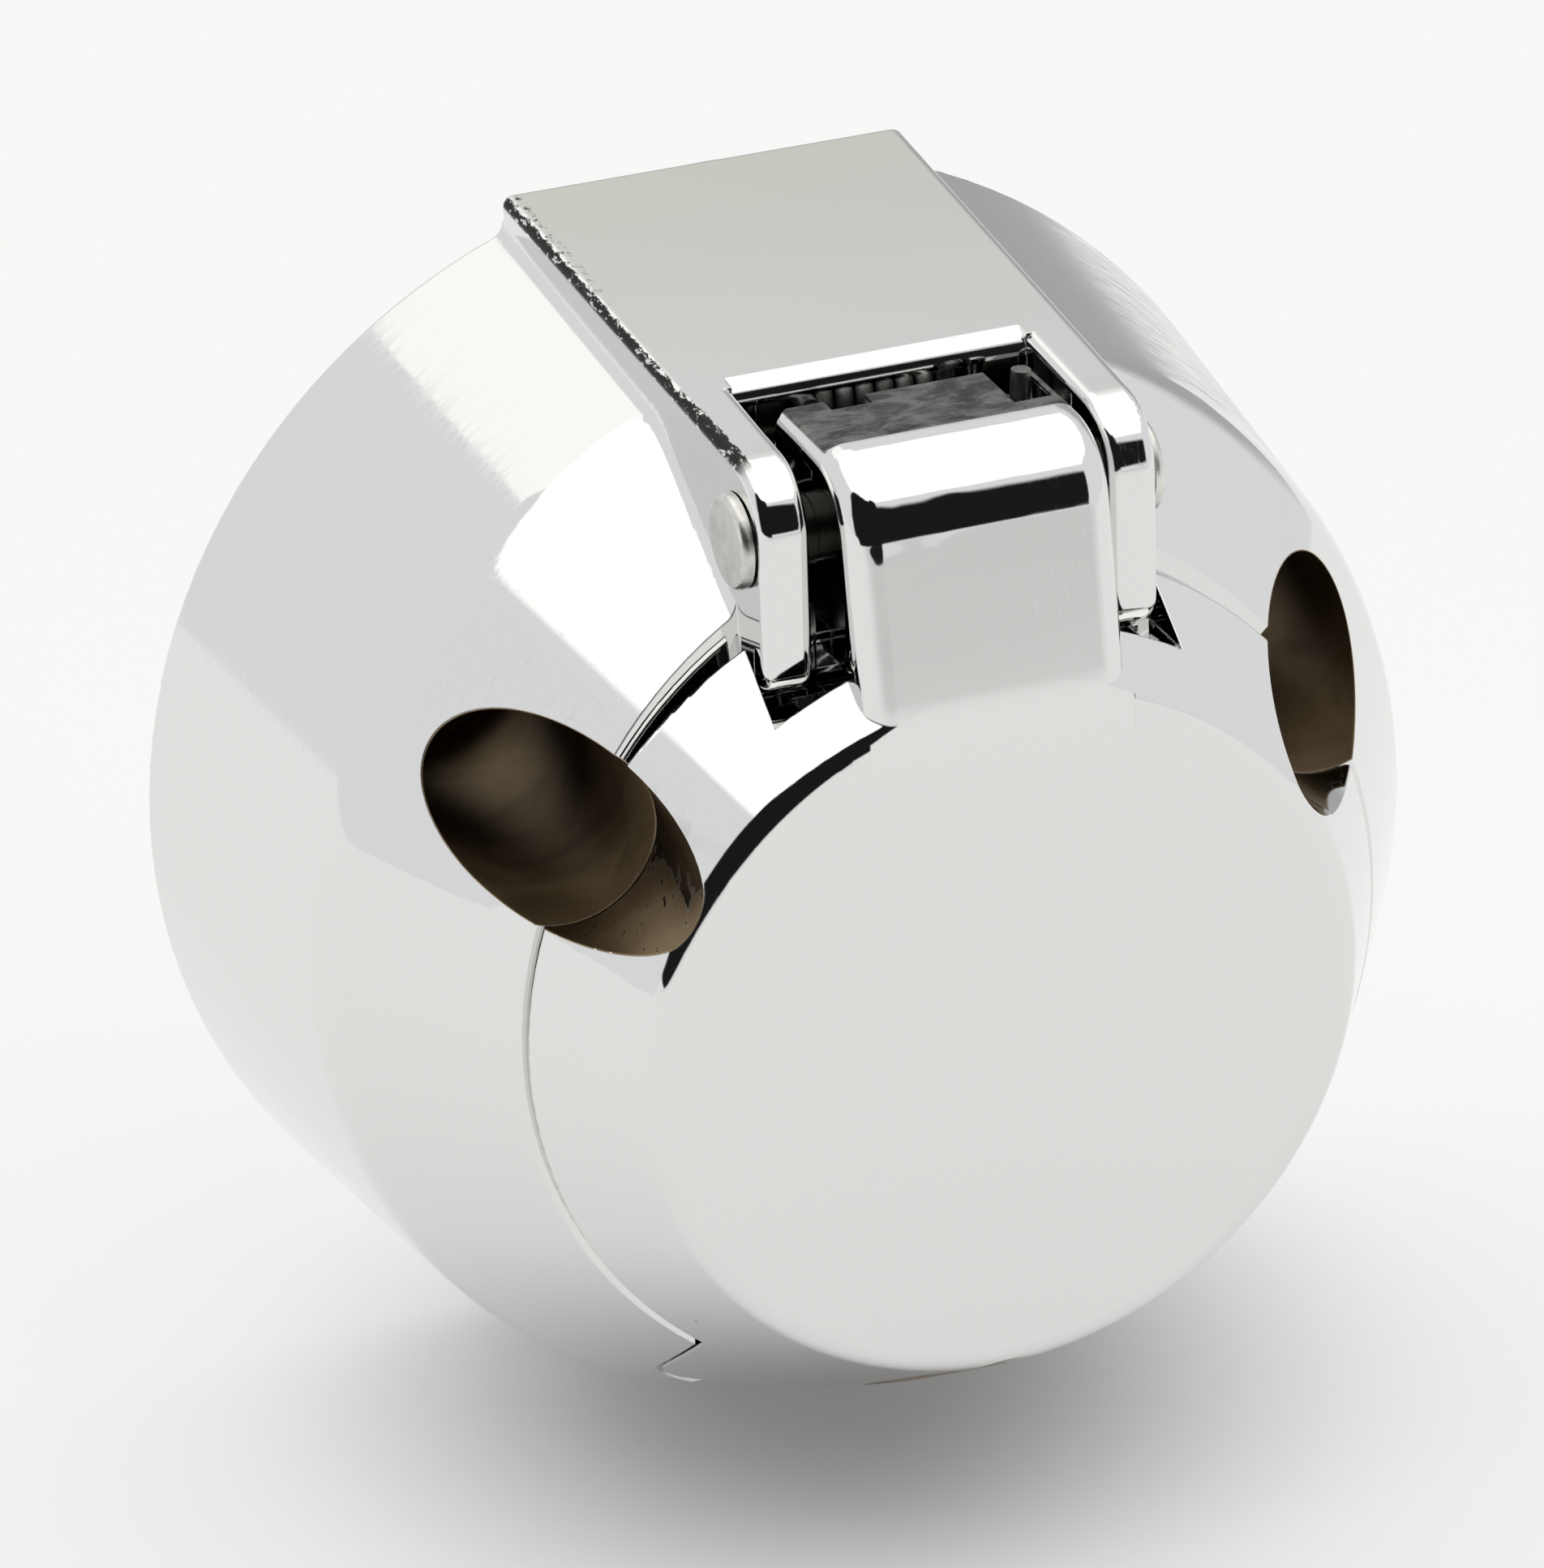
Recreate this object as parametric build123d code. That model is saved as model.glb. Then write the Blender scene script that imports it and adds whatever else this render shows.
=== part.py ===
from build123d import *
from math import cos, radians, sin
import os

# Seven-pole trailer socket with a spring-closed lid, sizes in millimetres.
# Frame: the mounting face lies in the XZ plane, +Y points back into the bracket, +Z is up.
# "depth" is the distance in front of the mounting face, so depth = -Y.

# Fixing pattern, which sets the scale of everything else
fixing_circle = 56.0
fixing_angles = (30, 150, 270)
fixing_hole_radius = 2.75
access_bore_radius = 5.62
bore_floor_depth = 12.0

# Housing envelope
rear_radius = 38.31
shoulder_radius = 35.61
shoulder_depth = 25.66
parting_radius = 27.75
parting_depth = 38.59
lid_face_radius = 22.43
lid_face_depth = 47.22
cone_slope = (shoulder_radius - parting_radius) / (parting_depth - shoulder_depth)

# Socket bore and its collar
bore_radius = 18.5
collar_radius = 20.4
collar_depth = 43.1
carrier_seat_depth = 10.0
carrier_bore_radius = 19.0
rear_bore_radius = 22.8

# Hinge block and its window
block_half_width_rear = 13.26
block_half_width_front = 12.5
block_front_depth = 41.4
block_top_rear = rear_radius
block_top_slope = 0.075
cheek_tip_height = 21.7
root_fillet = 1.2
cheek_edge_radius = 0.7
window_half_width = 9.39
window_back_depth = 29.1
window_floor_height = 24.0
window_lip_radius = 1.5
pin_depth = 37.8
pin_height = 30.5
pin_radius = 2.0

# Lid
lid_gap = 0.2
lid_inner_radius = 21.2
lid_inner_depth = 45.0
face_edge_radius = 1.7
knuckle_half_width = 8.3
knuckle_edge_radius = 1.8
neck_foot_height = 17.0
neck_lean_height = 20.2
neck_top_depth = 44.35
neck_blend_radius = 25.0
ridge_radius = 5.2
ridge_height = 36.35
roof_height = 36.0
roof_back_depth = 33.1
chamber_left = -6.4
chamber_right = 7.0
chamber_radius = 4.3
tongue_half_width = 17.05
tongue_back_depth = 30.6
tongue_outer_height = -28.6
tongue_inner_height = -26.4
tongue_thickness = 2.2
tongue_gap = 0.35

# Finger recess under the lid's tongue
recess_half_width = 17.35
recess_height = -29.4

# Contacts
contact_circle_radius = 10.0
carrier_face_depth = 31.0
contact_outer_radius = 2.9
contact_bore_radius = 2.42
contact_front_depth = 30.0
terminal_end_depth = 2.9
terminal_screw_depth = 4.3
carrier_screw_circle = 20.6
carrier_screw_radius = 1.0

# Spring
wire_radius = 0.6
coil_radius = 3.15
coil_pitch = 1.3
coil_turns = 7.75
coil_end = 6.3


def facing_front(depth):
    """Plane whose normal points to the front, with local x along X and local y along Z."""
    return Plane(origin=(0, -depth, 0), x_dir=(1, 0, 0), z_dir=(0, -1, 0))


def rod(radius, start, end, x=0, z=0):
    """Round bar parallel to the socket's axis."""
    return extrude(facing_front(start) * Pos(x, z) * Circle(radius), amount=end - start)


def tube(outer, inner, start, end, x=0, z=0):
    return rod(outer, start, end, x, z) - rod(inner, start - 1, end + 1, x, z)


def cross_rod(radius, x_start, x_end, depth, height):
    """Round bar parallel to the hinge axis."""
    section = Plane(origin=(x_start, -depth, height), z_dir=(1, 0, 0)) * Circle(radius)
    return extrude(section, amount=x_end - x_start)


def block(x_range, depth_range, z_range):
    centre_x = sum(x_range) / 2
    centre_depth = sum(depth_range) / 2
    centre_z = sum(z_range) / 2
    size = (x_range[1] - x_range[0], depth_range[1] - depth_range[0], z_range[1] - z_range[0])
    return Pos(centre_x, -centre_depth, centre_z) * Box(*size)


def outline(corners):
    """Closed outline from (x, y, corner radius) triples."""
    points = [(x, y) for x, y, _ in corners]
    return FilletPolyline(*points, radius=[r for _, _, r in corners], close=True)


def turned(corners):
    """Solid of revolution about the socket's axis from (radius, depth, corner radius) triples."""
    profile = outline([(r, -depth, fillet_radius) for r, depth, fillet_radius in corners])
    return revolve(make_face(profile), axis=Axis.Y)


def side_profile(corners, half_width):
    """Prism across the width from (depth, height, corner radius) triples."""
    profile = Plane.YZ * outline([(-depth, z, r) for depth, z, r in corners])
    return extrude(make_face(profile), amount=half_width, both=True)


def plan_profile(corners, bottom, top):
    """Vertical prism from (x, depth, corner radius) triples."""
    profile = outline([(x, -depth, r) for x, depth, r in corners])
    return Pos(0, 0, bottom) * extrude(make_face(profile), amount=top - bottom)


def fixing_points():
    radius = fixing_circle / 2
    return [(radius * cos(radians(a)), radius * sin(radians(a))) for a in fixing_angles]


def both_sides(shape):
    return shape + mirror(shape, Plane.YZ)


def cone_radius(depth):
    return shoulder_radius - cone_slope * (depth - shoulder_depth)


def joined(shape):
    """The single solid of a union, whatever wrapper the union came in."""
    return shape.solids()[0] if len(shape.solids()) == 1 else shape


# Housing

def drum():
    """Tapered drum and straight cone up to the parting plane."""
    return turned([
        (0, 0, 0),
        (rear_radius, 0, 0.4),
        (shoulder_radius, shoulder_depth, 7.0),
        (parting_radius, parting_depth, 0),
        (0, parting_depth, 0),
    ])


def heel_relief():
    """Wedge cut off the drum's front edge beside the cheeks, so that the lid's heel can swing."""
    return side_profile([
        (parting_depth + 0.5, 16.5, 0),
        (parting_depth + 0.5, 32.0, 0),
        (parting_depth - 2.2, 32.0, 0),
        (parting_depth, 16.5, 0),
    ], 40)


def is_flank_edge(edge, half_width):
    """True for the upper and front edges of the block's flanks or of its window's sides."""
    middle = edge.center()
    on_flank = half_width - 0.2 < abs(middle.X) < half_width + 0.8
    return on_flank and (middle.Z > 34.0 or -middle.Y > parting_depth + 1) and middle.Z > 21.75


def hinge_block(rear_corner):
    """Block on top of the drum that ends in the two cheeks."""
    front = block_front_depth
    top_front = block_top_rear - block_top_slope * front
    side = side_profile([
        (0, 12, 0),
        (0, block_top_rear, 0.5),
        (front, top_front, 4.3),
        (front, cheek_tip_height, 1.35),
        (parting_depth - 0.9, cheek_tip_height, 0),
        (parting_depth - 0.9, 12, 0),
    ], 20)
    plan = plan_profile([
        (-block_half_width_rear, 0, rear_corner),
        (block_half_width_rear, 0, rear_corner),
        (block_half_width_front, front, 0),
        (-block_half_width_front, front, 0),
    ], 10, 42)
    return side & plan


def block_edges():
    """Slivers that round off the block's upper edges and both edges of each cheek."""
    sharp = hinge_block(0)
    outer = sharp.edges().filter_by(lambda edge: is_flank_edge(edge, block_half_width_front))
    rounded = fillet(outer, cheek_edge_radius) - window_opening() - cheek_gap()
    inner = rounded.edges().filter_by(lambda edge: is_flank_edge(edge, window_half_width))
    return sharp - fillet(inner, cheek_edge_radius) - window_opening() - cheek_gap()


def cheek_gap():
    """Room for the lid's heel between the cheeks, in front of the parting plane."""
    half = window_half_width
    return block((-half, half), (parting_depth, lid_face_depth), (12, 45))


def window_opening():
    half = window_half_width
    return block((-half, half), (window_back_depth, lid_face_depth), (window_floor_height, 45))


def window_lip():
    """What rounds off the block's top where it meets the back of the window."""
    crest_depth = window_back_depth - window_lip_radius
    crest_height = block_top_rear - block_top_slope * crest_depth
    lip = block((-window_half_width, window_half_width), (crest_depth, window_back_depth + 1),
                (crest_height - window_lip_radius, crest_height + 1))
    return lip - cross_rod(window_lip_radius, -20, 20, crest_depth, crest_height - window_lip_radius)


def side_core():
    """Casting core behind the cone, left and right, clear of the block, bosses and recess."""
    wall = 3.2
    core = turned([
        (25.0, -1, 0),
        (rear_radius - wall, -1, 0),
        (shoulder_radius - wall, shoulder_depth - 1, 3.0),
        (cone_radius(parting_depth - 5) - wall, parting_depth - 5, 0.8),
        (25.0, parting_depth - 5, 0),
    ])
    core -= block((-15.5, 15.5), (-2, 40), (0, 45))
    core -= block((-20.5, 20.5), (-2, 40), (-45, 0))
    for x, z in fixing_points():
        core -= rod(access_bore_radius + 2.6, -2, 40, x, z)
    return core


def tongue_core(gap):
    """What lies inside the tongue: the cone's core above a flat."""
    inset = tongue_thickness + gap
    core = turned([
        (0, shoulder_depth, 0),
        (shoulder_radius - inset, shoulder_depth, 0),
        (cone_radius(parting_depth + 3) - inset, parting_depth + 3, 0),
        (0, parting_depth + 3, 0),
    ])
    return core & block((-40, 40), (0, 50), (tongue_inner_height + gap, 40))


def finger_recess():
    """Flat under the tongue, and the deeper notch that the tongue lies in."""
    half = recess_half_width
    flat = plan_profile([
        (-half, bore_floor_depth, 1.5),
        (half, bore_floor_depth, 1.5),
        (half, parting_depth + 1, 0),
        (-half, parting_depth + 1, 0),
    ], -45, recess_height)
    notch = plan_profile([
        (-half, tongue_back_depth - tongue_gap, 1.5),
        (half, tongue_back_depth - tongue_gap, 1.5),
        (half, parting_depth + 1, 0),
        (-half, parting_depth + 1, 0),
    ], -45, -18)
    return flat + (notch - tongue_core(tongue_gap))


def is_block_root(edge):
    """True for the edges where the block's flanks meet the drum."""
    middle = edge.center()
    on_flank = block_half_width_front - 0.3 < abs(middle.X) < block_half_width_rear + 0.3
    behind_parting = -middle.Y < parting_depth - 1
    return on_flank and behind_parting and 24.0 < middle.Z < 35.2 and edge.length > 2.5


def outer_casting():
    """Drum and hinge block with filleted roots, the heel relief and the gap between the cheeks."""
    cheeks = hinge_block(0.3)
    body = drum() + (cheeks & block((-20, 20), (-1, parting_depth), (0, 45)))
    roots = body.edges().filter_by(is_block_root)
    body = fillet(roots, root_fillet) + cheeks
    body -= heel_relief() - cheeks
    return body - cheek_gap()


def housing():
    body = outer_casting()
    body -= finger_recess()
    body += rod(collar_radius, parting_depth - 5, collar_depth)
    body -= window_opening() + window_lip()
    body -= block_edges()
    body -= rod(bore_radius, carrier_face_depth - 1, collar_depth + 1)
    body -= rod(carrier_bore_radius, carrier_seat_depth - 1, carrier_face_depth)
    body -= rod(rear_bore_radius, -1, carrier_seat_depth)
    body -= side_core()
    body -= block((-9.5, 9.5), (-1, window_back_depth - 3), (26.0, 33.8))
    body -= block((-3, 3), (carrier_face_depth, collar_depth + 1), (-bore_radius - 0.9, -10))
    for x, z in fixing_points():
        body -= rod(access_bore_radius, bore_floor_depth, 50, x, z)
        body -= rod(fixing_hole_radius, -1, bore_floor_depth + 1, x, z)
    for x, z in carrier_screw_points():
        body -= rod(carrier_screw_radius + 0.05, carrier_seat_depth - 1, 15.5, x, z)
    body -= cross_rod(pin_radius + 0.03, -20, 20, pin_depth, pin_height)
    return joined(body)


# Lid

def face_relief():
    """What would stand in front of the leaning neck, so that the face runs into it smoothly."""
    return side_profile([
        (lid_face_depth, neck_foot_height, 0),
        (lid_face_depth, neck_lean_height, neck_blend_radius),
        (neck_top_depth, ridge_height, 0),
        (lid_face_depth + 1, ridge_height, 0),
        (lid_face_depth + 1, neck_foot_height, 0),
    ], knuckle_half_width)


def lid_cap():
    back = parting_depth + lid_gap
    cap = turned([
        (0, back, 0),
        (cone_radius(back) - 0.05, back, 0.35),
        (lid_face_radius, lid_face_depth, face_edge_radius),
        (0, lid_face_depth, 0),
    ])
    cap -= rod(lid_inner_radius, back - 1, lid_inner_depth)
    cheek_pocket = block((-12.9, 12.9), (back - 1, 43.7), (20.9, 40))
    return cap - cheek_pocket - face_relief()


def lid_tongue():
    """Lip that the finger lifts: the cone carried on to the back, cut flat underneath."""
    half = tongue_half_width
    plan = plan_profile([
        (-half, tongue_back_depth, 1.3),
        (half, tongue_back_depth, 1.3),
        (half, parting_depth + 2, 0),
        (-half, parting_depth + 2, 0),
    ], tongue_outer_height, -18)
    cone = turned([
        (0, shoulder_depth, 0),
        (shoulder_radius - 0.05, shoulder_depth, 0),
        (lid_face_radius, lid_face_depth, 0),
        (0, lid_face_depth, 0),
    ])
    return (plan & cone) - tongue_core(0)


def is_neck_edge(edge):
    """True for the long edges of the neck's face, roll and ridge."""
    middle = edge.center()
    on_flank = abs(abs(middle.X) - knuckle_half_width) < 0.01
    above_foot = middle.Z > neck_foot_height + 0.1
    return on_flank and above_foot and (middle.Z > ridge_height - 0.05 or -middle.Y > 43.2)


def lid_neck():
    """Neck that leans back from the face and ends in the knuckle around the pin."""
    back = parting_depth + lid_gap
    neck = side_profile([
        (lid_face_depth, neck_foot_height, 0),
        (lid_face_depth, neck_lean_height, neck_blend_radius),
        (neck_top_depth, ridge_height, ridge_radius),
        (roof_back_depth, ridge_height, 0),
        (roof_back_depth, 25.7, 4.4),
        (back, 25.7, 0.8),
        (back, neck_foot_height, 0),
    ], knuckle_half_width)
    neck = fillet(neck.edges().filter_by(is_neck_edge), knuckle_edge_radius)
    neck -= side_profile([
        (roof_back_depth - 1, roof_height, 0),
        (39.7, roof_height, 0.1),
        (39.9, ridge_height + 0.1, 0),
        (roof_back_depth - 1, ridge_height + 0.1, 0),
    ], knuckle_half_width + 1)
    chamber = cross_rod(chamber_radius, chamber_left, chamber_right, pin_depth, pin_height)
    chamber += block((chamber_left, chamber_right), (roof_back_depth - 1, pin_depth),
                     (pin_height - chamber_radius, pin_height + chamber_radius))
    neck -= chamber
    neck -= block((4.9, 7.3), (roof_back_depth - 1, 37.9), (pin_height, 40))
    neck -= block((-5.2, -2.6), (roof_back_depth - 1, 34.4), (33, 40))
    inside = rod(lid_inner_radius, back - 5, lid_inner_depth)
    return neck - inside


def lid():
    body = lid_cap() + lid_tongue() + lid_neck()
    body += block((-4, 4), (collar_depth + 0.3, lid_inner_depth + 0.5), (-17.2, -15.0))
    for x, z in fixing_points()[:2]:
        body -= rod(access_bore_radius, 30, 50, x, z)
    body -= cross_rod(pin_radius + 0.06, -20, 20, pin_depth, pin_height)
    return joined(body)


def lid_gasket():
    return tube(collar_radius + 0.5, 17.9, collar_depth + 0.35, lid_inner_depth)


# Hinge pin and spring

def hinge_pin():
    taper = (block_half_width_rear - block_half_width_front) / block_front_depth
    cheek = block_half_width_rear - taper * (pin_depth - 3.0) + 0.02
    shaft = cross_rod(pin_radius, -cheek - 0.1, cheek + 0.1, pin_depth, pin_height)
    head = cross_rod(2.9, cheek, cheek + 0.75, pin_depth, pin_height)
    rim = head.edges().filter_by(GeomType.CIRCLE).sort_by(Axis.X)[-1]
    return joined(shaft + both_sides(fillet(rim, 0.45)))


def lid_spring():
    """Torsion coil around the pin with tangent legs: one up the knuckle's slot, one to the back."""
    coil_length = coil_pitch * coil_turns
    path = Helix(pitch=coil_pitch, height=coil_length, radius=coil_radius)
    start_section = Plane(origin=path @ 0, z_dir=path % 0) * Circle(wire_radius)
    end_section = Plane(origin=path @ 1, z_dir=path % 1) * Circle(wire_radius)
    spring = sweep(start_section, path=path, is_frenet=True)
    spring += extrude(start_section, amount=-(pin_depth - window_back_depth - 0.4))
    spring += extrude(end_section, amount=roof_height + 0.5 - pin_height)
    coil_start = coil_end - coil_length
    upright = Plane(origin=(coil_start, -pin_depth, pin_height), x_dir=(0, 0, 1), z_dir=(1, 0, 0))
    return joined(upright.location * spring)


# Contact insert

def carrier_screw_points():
    circle = carrier_screw_circle
    return [(circle * cos(radians(a)), circle * sin(radians(a))) for a in (90, 210, 330)]


def contact_places():
    """Contact name, x, z and the direction in which its cable screw faces, in degrees."""
    names = ("left_indicator", "rear_fog", "earth", "right_indicator", "right_tail", "stop_lamps")
    places = []
    for index, name in enumerate(names):
        angle = 120 - 60 * index
        x = contact_circle_radius * cos(radians(angle))
        z = contact_circle_radius * sin(radians(angle))
        places.append((name, x, z, angle))
    places.append(("left_tail", 0, 0, 90))
    return places


def contact_carrier():
    """Moulded insert: flange against the seat, round body with seven wells, raised key rib."""
    flange_front = carrier_seat_depth - 0.6
    body = rod(rear_bore_radius - 0.2, flange_front - 3.8, flange_front)
    body += rod(carrier_bore_radius - 0.2, flange_front, carrier_face_depth)
    front_rim = body.edges().filter_by(GeomType.CIRCLE).sort_by(Axis.Y)[0]
    body = fillet(front_rim, 0.6)
    for _, x, z, _ in contact_places():
        body -= rod(contact_outer_radius + 0.05, 0, 40, x, z)
    for x, z in carrier_screw_points():
        body -= rod(carrier_screw_radius + 0.15, 0, 12, x, z)
    groove = tube(14.8, 14.0, carrier_face_depth - 0.8, carrier_face_depth + 1)
    return joined(body - groove)


def contact(x, z, angle):
    """Turned brass contact: split sleeve in front, cable barrel with a cross screw behind."""
    body = rod(contact_outer_radius, 12, contact_front_depth, x, z)
    body += rod(2.6, terminal_end_depth, 12, x, z)
    body -= rod(contact_bore_radius, 16, contact_front_depth + 1, x, z)
    body -= rod(1.3, terminal_end_depth - 1, 9, x, z)
    body -= tube(contact_outer_radius + 1, 2.66, contact_front_depth - 2.0,
                 contact_front_depth - 1.0, x, z)
    tangent = Rot(0, -angle, 0)
    split = block((-4, 4), (19, contact_front_depth + 1), (-0.25, 0.25))
    body -= Pos(x, 0, z) * tangent * split
    screw_hole = cross_rod(1.2, 0, 4, terminal_screw_depth, 0)
    body -= Pos(x, 0, z) * tangent * screw_hole
    return joined(body)


def terminal_screws():
    """Seven slotted grub screws, one in each cable barrel."""
    slotted = cross_rod(1.15, 1.5, 4.0, terminal_screw_depth, 0)
    slotted -= block((3.4, 5), (terminal_screw_depth - 0.2, terminal_screw_depth + 0.2), (-2, 2))
    placed = [Pos(x, 0, z) * Rot(0, -angle, 0) * slotted for _, x, z, angle in contact_places()]
    return Compound(children=placed)


def contact_clips():
    """Open spring rings that keep the split sleeves tight."""
    ring = tube(2.86, 2.7, contact_front_depth - 1.9, contact_front_depth - 1.1)
    ring -= block((-0.4, 0.4), (20, 31), (0, 4))
    placed = [Pos(x, 0, z) * Rot(0, -angle, 0) * ring for _, x, z, angle in contact_places()]
    return Compound(children=placed)


def carrier_gasket():
    ring = tube(rear_bore_radius - 0.3, carrier_bore_radius, carrier_seat_depth - 0.6,
                carrier_seat_depth)
    for x, z in carrier_screw_points():
        ring -= rod(carrier_screw_radius + 0.15, 0, 12, x, z)
    return joined(ring)


def carrier_screws():
    """Three pan-head screws that pull the insert's flange against its seat."""
    flange_back = carrier_seat_depth - 4.4
    placed = []
    for x, z in carrier_screw_points():
        screw = rod(carrier_screw_radius, flange_back - 0.5, 14.5, x, z)
        screw += rod(1.9, flange_back - 1.3, flange_back, x, z)
        screw -= block((x - 0.3, x + 0.3), (flange_back - 2, flange_back - 0.7), (z - 3, z + 3))
        placed.append(joined(screw))
    return Compound(children=placed)


def rear_seal():
    """Rubber plate in the mouth of the rear bore, with the cable hole and its neck."""
    plate = rod(rear_bore_radius - 0.2, 0.15, 1.7)
    plate += rod(5.8, 1.7, 2.5)
    return joined(plate - rod(4.0, -1, 4))


def build_nodes():
    nodes = {
        "housing": housing(),
        "lid": lid(),
        "lid_gasket": lid_gasket(),
        "hinge_pin": hinge_pin(),
        "lid_spring": lid_spring(),
        "contact_carrier": contact_carrier(),
        "carrier_gasket": carrier_gasket(),
        "carrier_screws": carrier_screws(),
        "terminal_screws": terminal_screws(),
        "contact_clips": contact_clips(),
        "rear_seal": rear_seal(),
    }
    for name, x, z, angle in contact_places():
        nodes["contact_" + name] = contact(x, z, angle)
    return nodes


def main():
    os.makedirs("parts", exist_ok=True)
    for name, shape in build_nodes().items():
        export_step(shape, f"parts/{name}.step")
        print(name, len(shape.solids()), round(shape.volume, 1))


main()
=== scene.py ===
from math import cos, radians, sin

import bpy
from mathutils import Matrix, Vector


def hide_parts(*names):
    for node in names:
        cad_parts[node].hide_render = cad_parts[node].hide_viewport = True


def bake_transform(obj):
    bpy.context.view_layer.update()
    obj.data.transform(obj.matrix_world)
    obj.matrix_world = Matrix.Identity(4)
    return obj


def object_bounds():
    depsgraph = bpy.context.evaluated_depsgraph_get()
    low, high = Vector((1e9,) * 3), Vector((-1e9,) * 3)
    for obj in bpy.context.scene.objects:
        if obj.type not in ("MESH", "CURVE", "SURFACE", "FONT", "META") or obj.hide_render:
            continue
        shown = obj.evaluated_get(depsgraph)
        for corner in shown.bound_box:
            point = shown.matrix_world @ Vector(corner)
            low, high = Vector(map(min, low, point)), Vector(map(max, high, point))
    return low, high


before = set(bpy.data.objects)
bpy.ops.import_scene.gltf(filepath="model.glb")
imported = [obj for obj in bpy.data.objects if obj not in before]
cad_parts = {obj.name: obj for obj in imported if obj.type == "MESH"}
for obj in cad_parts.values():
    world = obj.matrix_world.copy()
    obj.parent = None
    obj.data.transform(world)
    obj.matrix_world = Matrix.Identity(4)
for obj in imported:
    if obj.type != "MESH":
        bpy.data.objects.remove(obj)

cad_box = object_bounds()

# The socket's places and sizes, in metres; angles are in degrees, the taper and slope have no unit
FIXING_CIRCLE_RADIUS = 0.028
FIXING_ANGLES = (30, 150, 270)
ACCESS_BORE_RADIUS = 0.00562
BORE_FLOOR_DEPTH = 0.012
BLOCK_HALF_WIDTH_REAR = 0.01326
BLOCK_TAPER = 0.01836
BLOCK_TOP_REAR = 0.03831
BLOCK_TOP_SLOPE = 0.075
BLOCK_TOP_NORMAL = (0, -0.0748, 0.9972)
SHOULDER_DEPTH = 0.02566
SHOULDER_RADIUS = 0.03561
ROOF_HEIGHT = 0.0360
ROOF_FRONT_DEPTH = 0.0399
CHEEK_OUTER_HALF_WIDTH = 0.0128

# Studio: brightness of each part, and its place as (azimuth, elevation, half width, half height)
# in degrees, with azimuth 0 behind the socket and 90 on its right
WALLS = 0.86
CEILING = 1.42
CEILING_EDGE = 44.0
CEILING_EDGE_SOFTNESS = 0.8
WINDOW = 1.22
WINDOW_PLACE = (-15.0, 42.5, 18.0, 9.0)
OPENING = 0.012
OPENING_PLACE = (-153.0, 21.5, 55.0, 31.0)
SHADE_SHARE = 0.52
SHADE_PLACE = (36.0, 8.0, 24.0, 20.0)
FOLD_SCALE = 5.0
FOLD_DEPTH = 9.0
BACKDROP = 0.93
WALL_TINT = (0.985, 0.988, 1.0)
CEILING_TINT = (1.0, 1.0, 0.965)
BACKDROP_TINT = (1.0, 1.0, 1.0)

# The lit sheet under the socket, in metres
FLOOR_GAP = 0.0001
FLOOR_HEIGHT = cad_box[0].z - FLOOR_GAP
FLOOR_RADIUS = 0.75
FLOOR_SIDES = 128
FLOOR_TONE = (0.44, 0.44, 0.438, 1.0)
GLOW_TONE = (1.0, 1.0, 0.993, 1.0)
FLOOR_ROUGHNESS = 0.9
GLOW = 0.49
# Painted contact shadow: a patch under the socket where the sheet glows less
PAINTED_SHADOW_CENTRE_DEPTH = 0.018
PAINTED_SHADOW_RADIUS = (0.006, 0.042)
PAINTED_SHADOW_SHARE = 0.30
# Painted shade: the sheet glows less towards the front
FRONT_SHADE_FADE = (-0.28, -0.65)
FRONT_SHADE_SHARE = 0.55

# Camera: its place in metres, its directions, and its sensor and lens in millimetres
CAMERA_PLACE = (-0.1704, -0.4580, 0.2346)
CAMERA_VIEW = (0.3186, 0.8396, -0.4400)
CAMERA_RIGHT = (0.9295, -0.3676, -0.0283)
SENSOR_WIDTH = 36.0
LENS = 195.1

# Tones, linear
CHROME = (0.775, 0.775, 0.77)
PIT = (0.10, 0.10, 0.10)
BARE_DARK = (0.185, 0.128, 0.072)
BARE_PALE = (0.33, 0.245, 0.145)
# Mottled cast skin of the knuckle's roof, painted dark as shade
CAST_SKIN_SHADE_DARK = (0.035, 0.034, 0.032)
CAST_SKIN_SHADE_PALE = (0.21, 0.20, 0.19)
# Streaked tones of the drum's upper right, painted darker there as shade
BURNISHED_SHADE_BRIGHT = (0.80, 0.80, 0.79)
BURNISHED_SHADE_DULL = (0.68, 0.68, 0.675)
BLOCK_TOP_FRONT_TONE = (0.745, 0.745, 0.722)
BLOCK_TOP_REAR_TONE = (0.700, 0.700, 0.632)
# Near black of the block's edge line: partly a crust, partly painted shade
CRUST_AND_SHADE = (0.022, 0.022, 0.020)
RIVET_BRIGHT = (0.74, 0.73, 0.70)
RIVET_DULL = (0.60, 0.59, 0.565)
# Painted shade on the hinge pin's shank between the cheeks
GAP_SHADE_BLACK = (0.028, 0.026, 0.022)
BRASS = (0.80, 0.62, 0.30)
TARNISH = (0.52, 0.37, 0.17)
SPRING_BRIGHT = (0.36, 0.36, 0.35)
SPRING_DULL = (0.16, 0.15, 0.14)
SCREW_BRIGHT = (0.62, 0.62, 0.60)
SCREW_DULL = (0.45, 0.44, 0.40)
PLASTIC = (0.028, 0.028, 0.03)
PLASTIC_RUBBED = (0.045, 0.045, 0.047)
RUBBER = (0.020, 0.020, 0.020)
RUBBER_RUBBED = (0.036, 0.036, 0.036)

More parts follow.
